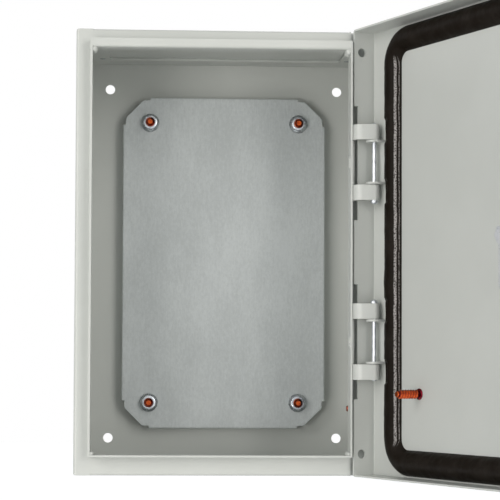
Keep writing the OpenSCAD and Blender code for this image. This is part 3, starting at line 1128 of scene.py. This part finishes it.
@dataclass
class Cabinet(Assembly):
    """Folded and welded cabinet with its sealing lips and corner welds."""

    flange_y: float = -130.0 * MM
    lip_y: float = -140.0 * MM
    left_lip_x: float = -93.7 * MM
    right_lip_x: float = 79.4 * MM
    lip_z: float = 136.0 * MM
    hinge_z: float = HINGE_Z
    top_bead: float = 5.4 * MM
    bottom_bead: float = 3.6 * MM
    bead_step: float = 1.3 * MM
    bead_inset: float = 0.9 * MM
    bead_clear: float = 0.2 * MM
    flange_gap: float = 1.0 * MM
    mark_width: float = 2.6 * MM
    mark_step: float = 1.1 * MM
    mark_half: float = 3.0 * MM
    mark_back: float = 2.2 * MM
    mark_sunk: float = 0.1 * MM
    first_seed: int = 5
    panels: tuple[str, ...] = ("body_wrap", "top_panel", "bottom_panel")

    def weld_runs(self) -> list[WeldBead]:
        """Lay out the welds.

        Returns:
            A bead in each corner of the lips and two marks on the hinge side.
        """
        back = self.flange_y - self.flange_gap
        runs = []
        for lip_x, side in ((self.left_lip_x, 1), (self.right_lip_x, -1)):
            for upright, width in ((1, self.top_bead), (-1, self.bottom_bead)):
                x = lip_x + side * self.bead_inset
                z = upright * (self.lip_z - self.bead_inset)
                front = self.lip_y + 0.5 * width + self.bead_clear
                seed = len(runs) + self.first_seed
                runs.append(WeldBead((x, front, z), (x, back, z), width, self.bead_step, seed))
        for middle in (-self.hinge_z, self.hinge_z):
            low, high = (
                (self.right_lip_x - self.mark_sunk, self.lip_y + self.mark_back, middle + half)
                for half in (-self.mark_half, self.mark_half)
            )
            seed = len(runs) + self.first_seed
            mark = WeldBead(low, high, self.mark_width, self.mark_step, seed, uneven=0.55)
            runs.append(mark)
        return runs

    def build(self) -> None:
        """Dress the sheets and add the welds."""
        paint = self.finishes.paint
        for node in self.panels:
            dress(node, paint)
        beads = [run.mesh(paint) for run in self.weld_runs()]
        mesh = mesh_of(form_of(*beads), paint, "corner_welds")
        shade(mesh, sharp_degrees=60.0)
        add_piece(mesh, "corner_welds", Body.CABINET, paint)


@dataclass
class MountingPlate(Assembly):
    """Galvanised plate on four weld studs with flange nuts."""

    across: float = 110.0 * MM
    upright: float = 207.0 * MM
    wall_y: float = -1.2 * MM
    face_y: float = -13.2 * MM
    stud_length: float = 20.0 * MM
    nut_flats: float = 10.0 * MM
    nut_height: float = 6.0 * MM
    nut_bore: float = 2.7 * MM
    nut_sink: float = 0.85 * MM
    hex_from: float = 1.9 * MM
    flange_radius: float = 6.7 * MM
    flange_top: float = 5.1 * MM
    nut_spin: float = 0.5
    nut_seed: int = 4
    half_width: float = 75.0 * MM
    half_height: float = 122.5 * MM
    edge: float = 0.22 * MM
    bend: float = 2.1 * MM
    bend_power: float = 8.0
    bend_inside: float = 0.35

    def square_bends(self, mesh: Mesh) -> None:
        """Draw the outer skin of the folds out to the tighter curve of a pressed edge.

        A superellipse takes the place of the round fold. Its power is ``bend_power``, where
        two is round, and the skin inside ``bend_inside`` of the bend stays as it is.

        Args:
            mesh: The plate, changed in place.
        """
        inner = self.bend * self.bend_inside
        for vertex in mesh.vertices:
            spot = vertex.co
            for axis, half in ((0, self.half_width), (2, self.half_height)):
                out = (abs(spot[axis]) - half + self.bend) / self.bend
                fore = (self.face_y + self.bend - spot.y) / self.bend
                reach = math.hypot(out, fore)
                if out <= 0 or fore <= 0 or reach * self.bend <= inner:
                    continue
                power = self.bend_power
                full = (out**power + fore**power) ** (-1 / power) * reach
                share = min(1.0, (reach * self.bend - inner) / (self.bend - inner))
                grow = 1 + (full - 1) * share
                side = math.copysign(1.0, spot[axis])
                spot[axis] = side * (half - self.bend + out * grow * self.bend)
                spot.y = self.face_y + self.bend - fore * grow * self.bend
        mesh.update()

    def corners(self, y: float) -> list[Point]:
        """Return the four stud places at one depth."""
        return [(x * self.across / 2, y, z * self.upright / 2) for x in (-1, 1) for z in (-1, 1)]

    def nut(self, tree: Recipe) -> Socket:
        """Build one hex flange nut on +Z from an object kept by the tree.

        Args:
            tree: The tree.

        Returns:
            The socket of the nut.
        """
        form = bmesh.new()
        bore, rim = self.nut_bore, self.flange_radius
        where = Matrix.Identity(4)
        hexagon = Hexagon(self.nut_flats / 2, self.hex_from, self.nut_height, bore, self.nut_sink)
        hexagon.add_to(form, where)
        flange = [
            (bore, 0.0), (rim - 0.3 * MM, 0.0), (rim, 0.3 * MM), (rim, 0.8 * MM),
            (rim - 0.25 * MM, 1.1 * MM), (self.flange_top, 2.0 * MM), (bore, 2.05 * MM),
        ]
        turned(form, flange, where)
        mesh = closed_mesh(form, self.finishes.zinc, "flange_nut", sharp_degrees=25.0)
        master = bpy.data.objects.new("flange_nut_master", mesh)
        return tree.add("GeometryNodeObjectInfo", {"Object": master}).outputs["Geometry"]

    def build(self) -> None:
        """Build the plate, its studs and its nuts."""
        steel, zinc = self.finishes.galvanised, self.finishes.zinc
        plate = SoftEdges(self.edge).copy("mounting_plate", steel)
        self.square_bends(plate)
        add_piece(plate, "plate_sheet", Body.CABINET, steel, "mounting_plate")
        copper = self.finishes.copper
        stud = WeldStud(self.stud_length)
        studs = stud.mesh("plate_stud", copper, self.corners(self.wall_y), (0, -1, 0))
        add_piece(studs, "plate_stud_threads", Body.CABINET, copper, "plate_studs")
        tree = Recipe("flange_nuts")
        spread = scatter(tree, self.nut(tree), (0, -1, 0), self.nut_spin, self.nut_seed)
        nuts = tree.bake(spread, zinc, self.corners(self.face_y))
        shade(nuts, sharp_degrees=25.0)
        add_piece(nuts, "flange_nuts", Body.CABINET, zinc, "plate_nuts")


@dataclass
class EarthPoints(Assembly):
    """Earth studs of the cabinet and the door."""

    cabinet_place: Point = (103.8 * MM, -78.0 * MM, -106.0 * MM)
    cabinet_length: float = 20.0 * MM
    door_place: Point = (51.4 * MM, DOOR_PLATE_Y, -94.3 * MM)
    door_length: float = 18.0 * MM

    def build(self) -> None:
        """Build both studs."""
        copper = self.finishes.copper
        stud = WeldStud(self.cabinet_length)
        mesh = stud.mesh("body_earth", copper, [self.cabinet_place], (-1, 0, 0))
        add_piece(mesh, "cabinet_earth_thread", Body.CABINET, copper, "body_earth_stud")
        stud = WeldStud(self.door_length)
        mesh = stud.mesh("door_earth", copper, [self.door_place], (0, 1, 0))
        mesh.transform(SWING.matrix)
        add_piece(mesh, "door_earth_thread", Body.DOOR, copper, "door_earth_stud")


@dataclass
class GlandPlate(Assembly):
    """Gland plate on its flat gasket, held by four screws."""

    plate_edge: float = 0.25 * MM
    screw_edge: float = 0.12 * MM

    def build(self) -> None:
        """Soften the plate and the screws and dress the gasket."""
        paint, zinc = self.finishes.paint, self.finishes.zinc
        SoftEdges(self.plate_edge).piece("gland_plate", "gland_cover", Body.CABINET, paint)
        SoftEdges(self.screw_edge).piece("gland_screws", "gland_screw_heads", Body.CABINET, zinc)
        dress("gland_gasket", self.finishes.grey_foam)


@dataclass
class Hinge(Assembly):
    """One concealed hinge: painted straps, a bright pin and the door's bracket."""

    side: str
    centre_z: float
    height: float = 51.0 * MM
    pin_radius: float = 1.5 * MM
    tail: float = 0.8 * MM
    chamfer: float = 0.5 * MM
    head_radius: float = 2.6 * MM
    head_height: float = 2.7 * MM
    head_rim: float = 0.7 * MM
    strap_edge: float = 0.3 * MM
    bracket_edge: float = 0.25 * MM

    def pin(self) -> Mesh:
        """Build the pin.

        Returns:
            Its mesh, with a domed head and a chamfered tail.
        """
        half = self.height / 2
        way = 1.0 if self.centre_z > 0 else -1.0
        rise = self.head_height - self.head_rim
        dome = [
            (self.head_radius * math.cos(a), -half - self.head_rim - rise * math.sin(a))
            for a in (math.radians(degrees) for degrees in range(0, 90, 10))
        ]
        tip = half + self.tail
        profile = [
            (0.0, tip), (self.pin_radius - self.chamfer, tip),
            (self.pin_radius, tip - self.chamfer), (self.pin_radius, -half),
            (self.head_radius - 0.1 * MM, -half), *dome, (0.0, -half - self.head_height),
        ]
        form = bmesh.new()
        place = Matrix.Translation((SWING.pivot_x, SWING.pivot_y, self.centre_z))
        turned(form, [(radius, way * z) for radius, z in profile], place, sides=32)
        coat = self.finishes.pin_steel
        return closed_mesh(form, coat, f"{self.side}_pin", sharp_degrees=35.0)

    def build(self) -> None:
        """Build the hinge's three pieces."""
        side, paint, pin = self.side, self.finishes.paint, self.finishes.pin_steel
        strap, bracket = SoftEdges(self.strap_edge), SoftEdges(self.bracket_edge)
        strap.piece(f"{side}_body_hinge", f"{side}_strap", Body.CABINET, paint)
        add_piece(self.pin(), f"{side}_pin", Body.CABINET, pin, f"{side}_hinge_pin")
        bracket.piece(f"{side}_door_hinge", f"{side}_bracket", Body.DOOR, paint)


@dataclass
class FoamSeal(Assembly):
    """Poured foam bead round the inside of the door."""

    left: float = -94.3 * MM
    right: float = 80.0 * MM
    half_height: float = 139.4 * MM
    corner: float = 15.5 * MM
    base_y: float = DOOR_PLATE_Y
    crown_radius: float = 8.8 * MM
    height: float = 6.5 * MM
    uneven: float = 0.30 * MM
    waves_per_metre: tuple[float, float] = (90.0, 260.0)
    skirt_share: float = 0.35
    flank_share: float = 0.705
    # half length and end fade of the painted highlight streak along the bead
    highlight_half: float = 129.0 * MM
    highlight_end: float = 4.0 * MM
    hinge_z: float = HINGE_Z
    knuckle_mid: float = 20.3 * MM
    knuckle_half: float = 5.2 * MM
    strap_centre: tuple[float, float] = (86.1 * MM, -137.3 * MM)
    strap_radius: float = 7.0 * MM
    strap_gap: float = 0.45 * MM
    knuckle_gap: float = 0.5 * MM
    least_height: float = 0.05 * MM
    dent_fade: float = 2.5 * MM
    path_steps: int = 720
    corner_steps: int = 16
    section_steps: int = 40

    def bead(self) -> Mesh:
        """Sweep the bead round its path.

        Returns:
            The bead lying in the XY plane, its crown towards +Z.
        """
        tree = Recipe("foam_bead")
        width = tree.size("Width", self.right - self.left)
        height = tree.size("Height", 2 * self.half_height)
        corner = tree.size("Corner radius", self.corner)
        crown = tree.size("Crown radius", self.crown_radius)
        tall = tree.size("Bead height", self.height)
        sides = {"Width": width, "Height": height}
        box = tree.part("GeometryNodeCurvePrimitiveQuadrilateral", sides, mode="RECTANGLE")
        fillet = {"Curve": box, "Count": self.corner_steps, "Radius": corner}
        rounded = tree.part("GeometryNodeFilletCurve", fillet, mode="POLY")
        spaced = {"Curve": rounded, "Count": self.path_steps}
        path = tree.part("GeometryNodeResampleCurve", spaced, mode="COUNT")
        upright = tree.part("GeometryNodeSetCurveNormal", {"Curve": path}, mode="Z_UP")
        drop = tree.maths("SUBTRACT", crown, tall)
        half_angle = tree.maths("ARCCOSINE", tree.maths("DIVIDE", drop, crown))
        section = {
            "Resolution": self.section_steps,
            "Radius": crown,
            "Start Angle": tree.maths("SUBTRACT", math.pi / 2, half_angle),
            "Sweep Angle": tree.share(half_angle, 2.0),
        }
        arc = tree.part("GeometryNodeCurveArc", section, mode="RADIUS")
        closed = tree.part("GeometryNodeSetSplineCyclic", {"Geometry": arc, "Cyclic": True})
        lowered = tree.moved(closed, tree.vector(y=tree.share(drop, -1.0)))
        sweep = {"Curve": upright, "Profile Curve": lowered}
        # the sweep leaves the crown below the path, so the bead is turned over
        hanging = tree.bake(tree.part("GeometryNodeCurveToMesh", sweep), self.finishes.foam)
        hanging.transform(Matrix.Scale(-1, 4, (0, 0, 1)))
        hanging.flip_normals()
        return hanging

    def settle(self, mesh: Mesh) -> None:
        """Give the bead its waviness and store where the painted highlight lies on its flank.

        Args:
            mesh: The bead lying in the XY plane, given the attributes "across" and "along".
        """
        centre = Vector(((self.left + self.right) / 2, 0.0, 0.0))
        across = mesh.attributes.new("across", "FLOAT", "POINT")
        along = mesh.attributes.new("along", "FLOAT", "POINT")
        flank_x = self.right - self.flank_share * self.crown_radius
        long, short = self.waves_per_metre
        normals = [Vector(normal.vector) for normal in mesh.vertex_normals]
        for index, (vertex, out) in enumerate(zip(mesh.vertices, normals)):
            at = vertex.co + centre
            lift = max(0.0, min(1.0, at.z / (self.skirt_share * self.height)))
            wave = noise.noise(at * long) + 0.5 * noise.noise(at * short)
            vertex.co = vertex.co + out * ((wave - 0.5) * self.uneven) * lift
            at = vertex.co + centre
            # where the painted highlight streak lies across the bead
            across.data[index].value = (at.x - flank_x) / MM
            share = (self.highlight_half - abs(at.y)) / self.highlight_end
            along.data[index].value = min(1.0, max(0.0, share))

    def dents(self, mesh: Mesh) -> None:
        """Press the hinge straps' shape into the bead, in the closed door's frame.

        Args:
            mesh: The bead in its place on the closed door.
        """
        reach = self.strap_radius + self.strap_gap
        mid_x, mid_y = self.strap_centre
        hinges = (-self.hinge_z, self.hinge_z)
        knuckles = [z + side * self.knuckle_mid for z in hinges for side in (-1, 1)]
        for vertex in mesh.vertices:
            spot = vertex.co
            gap = min(abs(spot.z - z) for z in knuckles) - self.knuckle_half - self.knuckle_gap
            fade = 1.0 - min(1.0, max(0.0, gap / self.dent_fade))
            across = spot.x - mid_x
            if fade <= 0.0 or across <= -reach:
                continue
            floor = mid_y - (reach if across > 0 else math.sqrt(reach**2 - across**2))
            if spot.y > floor:
                spot.y += (max(floor, self.base_y + self.least_height) - spot.y) * fade

    def build(self) -> None:
        """Build the bead on the open door."""
        mesh = self.bead()
        self.settle(mesh)
        middle = Matrix.Translation(((self.left + self.right) / 2, self.base_y, 0))
        mesh.transform(middle @ Matrix.Rotation(math.radians(-90), 4, "X"))
        self.dents(mesh)
        mesh.transform(SWING.matrix)
        foam = self.finishes.foam
        seal = closed_mesh(form_of(mesh), foam, "foam_seal", sharp_degrees=50.0)
        piece = add_piece(seal, "foam_seal", Body.DOOR, foam, "door_gasket")


@dataclass
class Lock(Assembly):
    """Quarter-turn cam lock: threaded housing, turning insert, nut and cam."""

    axis_x: float = -67.0 * MM
    front_y: float = -154.1 * MM
    plate_y: float = DOOR_PLATE_Y
    radius: float = 11.0 * MM
    pitch: float = 1.5 * MM
    depth: float = 0.55 * MM
    flat: float = 10.0 * MM
    head_radius: float = 14.0 * MM
    head_height: float = 5.0 * MM
    bore: float = 8.05 * MM
    length: float = 25.5 * MM
    thread_gap: float = 1.1 * MM
    thread_end: float = 0.5 * MM
    nut_apothem: float = 13.5 * MM
    nut_height: float = 5.0 * MM
    nut_sink: float = 0.6 * MM
    nut_overlap: float = 0.45 * MM
    edge: float = 0.2 * MM

    def housing(self) -> Mesh:
        """Build the housing of the closed door's lock.

        Returns:
            Its mesh, a round head and a threaded barrel with two flats.
        """
        coat = self.finishes.die_cast
        place, direction = (self.axis_x, self.front_y, 0.0), (0, 1, 0)
        start = self.head_height + self.thread_gap
        run = self.length - start - self.thread_end
        thread = Thread(self.radius, run, self.pitch, self.depth, start, self.flat, turn_sides=64)
        form = form_of(thread.mesh("lock_thread", coat, [place], direction))
        where = frame_at(place, direction)
        bore, rim, tall, end = self.bore, self.head_radius, self.head_height, self.length
        head = [
            (bore, 0.5 * MM), (bore + 0.5 * MM, 0.0), (rim - 3.1 * MM, 0.0),
            (rim - 2.2 * MM, 0.35 * MM), (rim - 1.2 * MM, 1.1 * MM), (rim - 0.4 * MM, 2.1 * MM),
            (rim, 3.2 * MM), (rim, tall - 0.3 * MM), (rim - 0.3 * MM, tall), (bore, tall),
        ]
        turned(form, head, where, reach=lambda angle: rim)
        root = self.radius - self.depth
        barrel = [
            (bore, tall), (root, tall), (root, end - 0.3 * MM), (root - 0.3 * MM, end), (bore, end)
        ]
        turned(form, barrel, where, reach=lambda a: self.flat / max(POLE, abs(math.sin(a))))
        return closed_mesh(form, coat, "lock_housing_cast", sharp_degrees=35.0)

    def nut(self) -> Mesh:
        """Build the thin hexagonal nut.

        Returns:
            Its mesh, behind the closed door's plate.
        """
        form = bmesh.new()
        where = frame_at((self.axis_x, self.plate_y, 0.0), (0, 1, 0))
        bore = self.radius - self.nut_overlap
        Hexagon(self.nut_apothem, 0.0, self.nut_height, bore, self.nut_sink).add_to(form, where)
        return closed_mesh(form, self.finishes.die_cast, "lock_hex_nut", sharp_degrees=25.0)

    def build(self) -> None:
        """Build the lock's housing and nut, and soften what turns."""
        cast = self.finishes.die_cast
        for mesh, node in ((self.housing(), "lock_housing"), (self.nut(), "lock_nut")):
            mesh.transform(SWING.matrix)
            add_piece(mesh, f"cut_{node}", Body.DOOR, cast, node)
        dress("lock_seal", self.finishes.rubber)
        for node in ("lock_rotor", "lock_cam", "cam_screw"):
            SoftEdges(self.edge).piece(node, f"soft_{node}", Body.LOCK, cast)


@dataclass
class Door(Assembly):
    """Pan-shaped door with its seal."""

    def build(self) -> None:
        """Dress the door's sheet and build its seal."""
        dress("door_panel", self.finishes.paint)
        FoamSeal(self.finishes).build()


# ---- Studio ---------------------------------------------------------------------------


@dataclass(frozen=True)
class SoftBox:
    """One large, soft lamp."""

    name: str
    place: Point
    target: Point
    size: tuple[float, float]
    power: float
    colour: Colour = (1.0, 0.972, 0.930)

    def build(self) -> None:
        """Hang the lamp."""
        lamp = bpy.data.lights.new(self.name, "AREA")
        lamp.shape = "RECTANGLE"
        lamp.size, lamp.size_y = self.size
        lamp.energy = self.power
        lamp.color = self.colour
        holder = placed(self.name, lamp)
        holder.location = self.place
        aim = Vector(self.target) - Vector(self.place)
        holder.rotation_euler = aim.to_track_quat("-Z", "Y").to_euler()


@dataclass
class Studio:
    """Camera, soft lamps, pale floor and white surroundings.

    The camera's angles are in degrees, its lens and sensor in millimetres, and its shift is
    a share of the frame.
    """

    eye: Point = (-54.8 * MM, -1267.2 * MM, -78.8 * MM)
    yaw: float = 2.551
    pitch: float = 2.337
    roll: float = -0.26
    focal_length: float = 122.2128
    sensor_width: float = 36.0
    shift: tuple[float, float] = (0.05, 0.10)
    floor_z: float = -0.75
    floor_half: float = 14.0
    floor_glow: float = 0.75
    floor_tone: Colour = (0.82, 0.82, 0.82)
    ambient: float = 0.27
    white: Colour = (1.0, 1.0, 1.0)
    fill: Colour = (0.93, 1.0, 1.03)
    lamps: tuple[SoftBox, ...] = (
        SoftBox("left_high_box", (-1.35, -1.25, 0.60), (0.0, -0.1, 0.0), (0.8, 1.0), 11.0),
        SoftBox("left_low_box", (-0.90, -1.80, -0.20), (0.0, -0.1, 0.0), (0.6, 0.6), 8.9),
        SoftBox("right_high_box", (0.95, -1.75, 0.70), (0.0, -0.1, 0.0), (0.8, 1.1), 8.6),
        SoftBox("right_low_box", (0.75, -1.60, 0.05), (0.0, -0.1, 0.0), (0.5, 0.7), 4.8),
        SoftBox("rear_box", (0.40, 1.90, 0.55), (0.05, 0.0, 0.0), (1.4, 1.4), 16.0),
    )

    def aim(self) -> Matrix:
        """Work out the camera's rotation from its yaw, pitch and roll in degrees.

        Returns:
            The rotation matrix.
        """
        yaw, pitch, roll = (math.radians(v) for v in (self.yaw, self.pitch, self.roll))
        level_share, rise = math.cos(pitch), math.sin(pitch)
        ahead = Vector((math.sin(yaw) * level_share, math.cos(yaw) * level_share, rise))
        level = Vector((math.cos(yaw), -math.sin(yaw), 0.0))
        upward = level.cross(ahead)
        right = level * math.cos(roll) - upward * math.sin(roll)
        above = level * math.sin(roll) + upward * math.cos(roll)
        return Matrix((right, above, -ahead)).transposed()

    def camera(self) -> None:
        """Place the camera at its viewing angle."""
        lens = bpy.data.cameras.new("camera")
        lens.sensor_width = self.sensor_width
        lens.lens = self.focal_length
        lens.shift_x, lens.shift_y = self.shift
        lens.clip_start, lens.clip_end = 0.05, 60.0
        camera = placed("camera", lens)
        camera.location = self.eye
        camera.rotation_euler = self.aim().to_euler()
        bpy.context.scene.camera = camera

    @staticmethod
    def seen(graph: Graph) -> Socket:
        """Return 1 for rays from the eye and rays in gloss, and 0 for the others."""
        rays = graph.add("ShaderNodeLightPath").outputs
        return graph.maths("MAXIMUM", rays["Is Camera Ray"], rays["Is Glossy Ray"])

    def surroundings(self) -> None:
        """Make the world white to the eye and in gloss, and a plain grey as light."""
        world = bpy.data.worlds.new("studio")
        world.use_nodes = True
        bpy.context.scene.world = world
        graph = Graph(world.node_tree)
        passed = graph.add("ShaderNodeLightPath").outputs["Is Transmission Ray"]
        seen = graph.maths("MAXIMUM", self.seen(graph), passed)
        levels = {0: seen, 1: 0.0, 2: 1.0, 3: self.ambient, 4: 1.0}
        strength = graph.part("ShaderNodeMapRange", levels)
        tones = {0: seen, 6: (*self.fill, OPAQUE), 7: (*self.white, OPAQUE)}
        tone = graph.add("ShaderNodeMix", tones, data_type="RGBA").outputs[2]
        light = graph.part("ShaderNodeBackground", {"Color": tone, "Strength": strength})
        graph.add("ShaderNodeOutputWorld", {0: light})

    def floor(self) -> None:
        """Lay the pale floor, white to the eye where no shadow falls."""
        graph = SurfaceGraph("pale_floor")
        glow = graph.share(self.seen(graph), self.floor_glow)
        graph.finish(
            Base_Color=self.floor_tone,
            Roughness=0.8,
            Emission_Color=self.white,
            Emission_Strength=glow,
        )
        side = self.floor_half
        signs = ((-1, -1), (1, -1), (1, 1), (-1, 1))
        corners = [(x * side, y * side, self.floor_z) for x, y in signs]
        mesh = bpy.data.meshes.new("floor")
        mesh.from_pydata(corners, [], [(0, 1, 2, 3)])
        mesh.materials.append(graph.material)
        placed("floor", mesh)

    def build(self) -> None:
        """Set up everything round the enclosure."""
        bpy.context.scene.view_settings.view_transform = "Standard"
        self.camera()
        self.surroundings()
        self.floor()
        for lamp in self.lamps:
            lamp.build()


def main() -> None:
    """Build the studio and every sub-assembly."""
    logging.basicConfig(level=logging.INFO, format="%(name)s: %(message)s")
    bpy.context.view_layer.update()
    Studio().build()
    finishes = Finishes()
    for assembly in (
        Cabinet(finishes),
        MountingPlate(finishes),
        EarthPoints(finishes),
        GlandPlate(finishes),
        Hinge(finishes, "upper", HINGE_Z),
        Hinge(finishes, "lower", -HINGE_Z),
        Door(finishes),
        Lock(finishes),
    ):
        assembly.build()
        LOG.info("%s built", type(assembly).__name__)


if __name__ == "__main__":
    main()
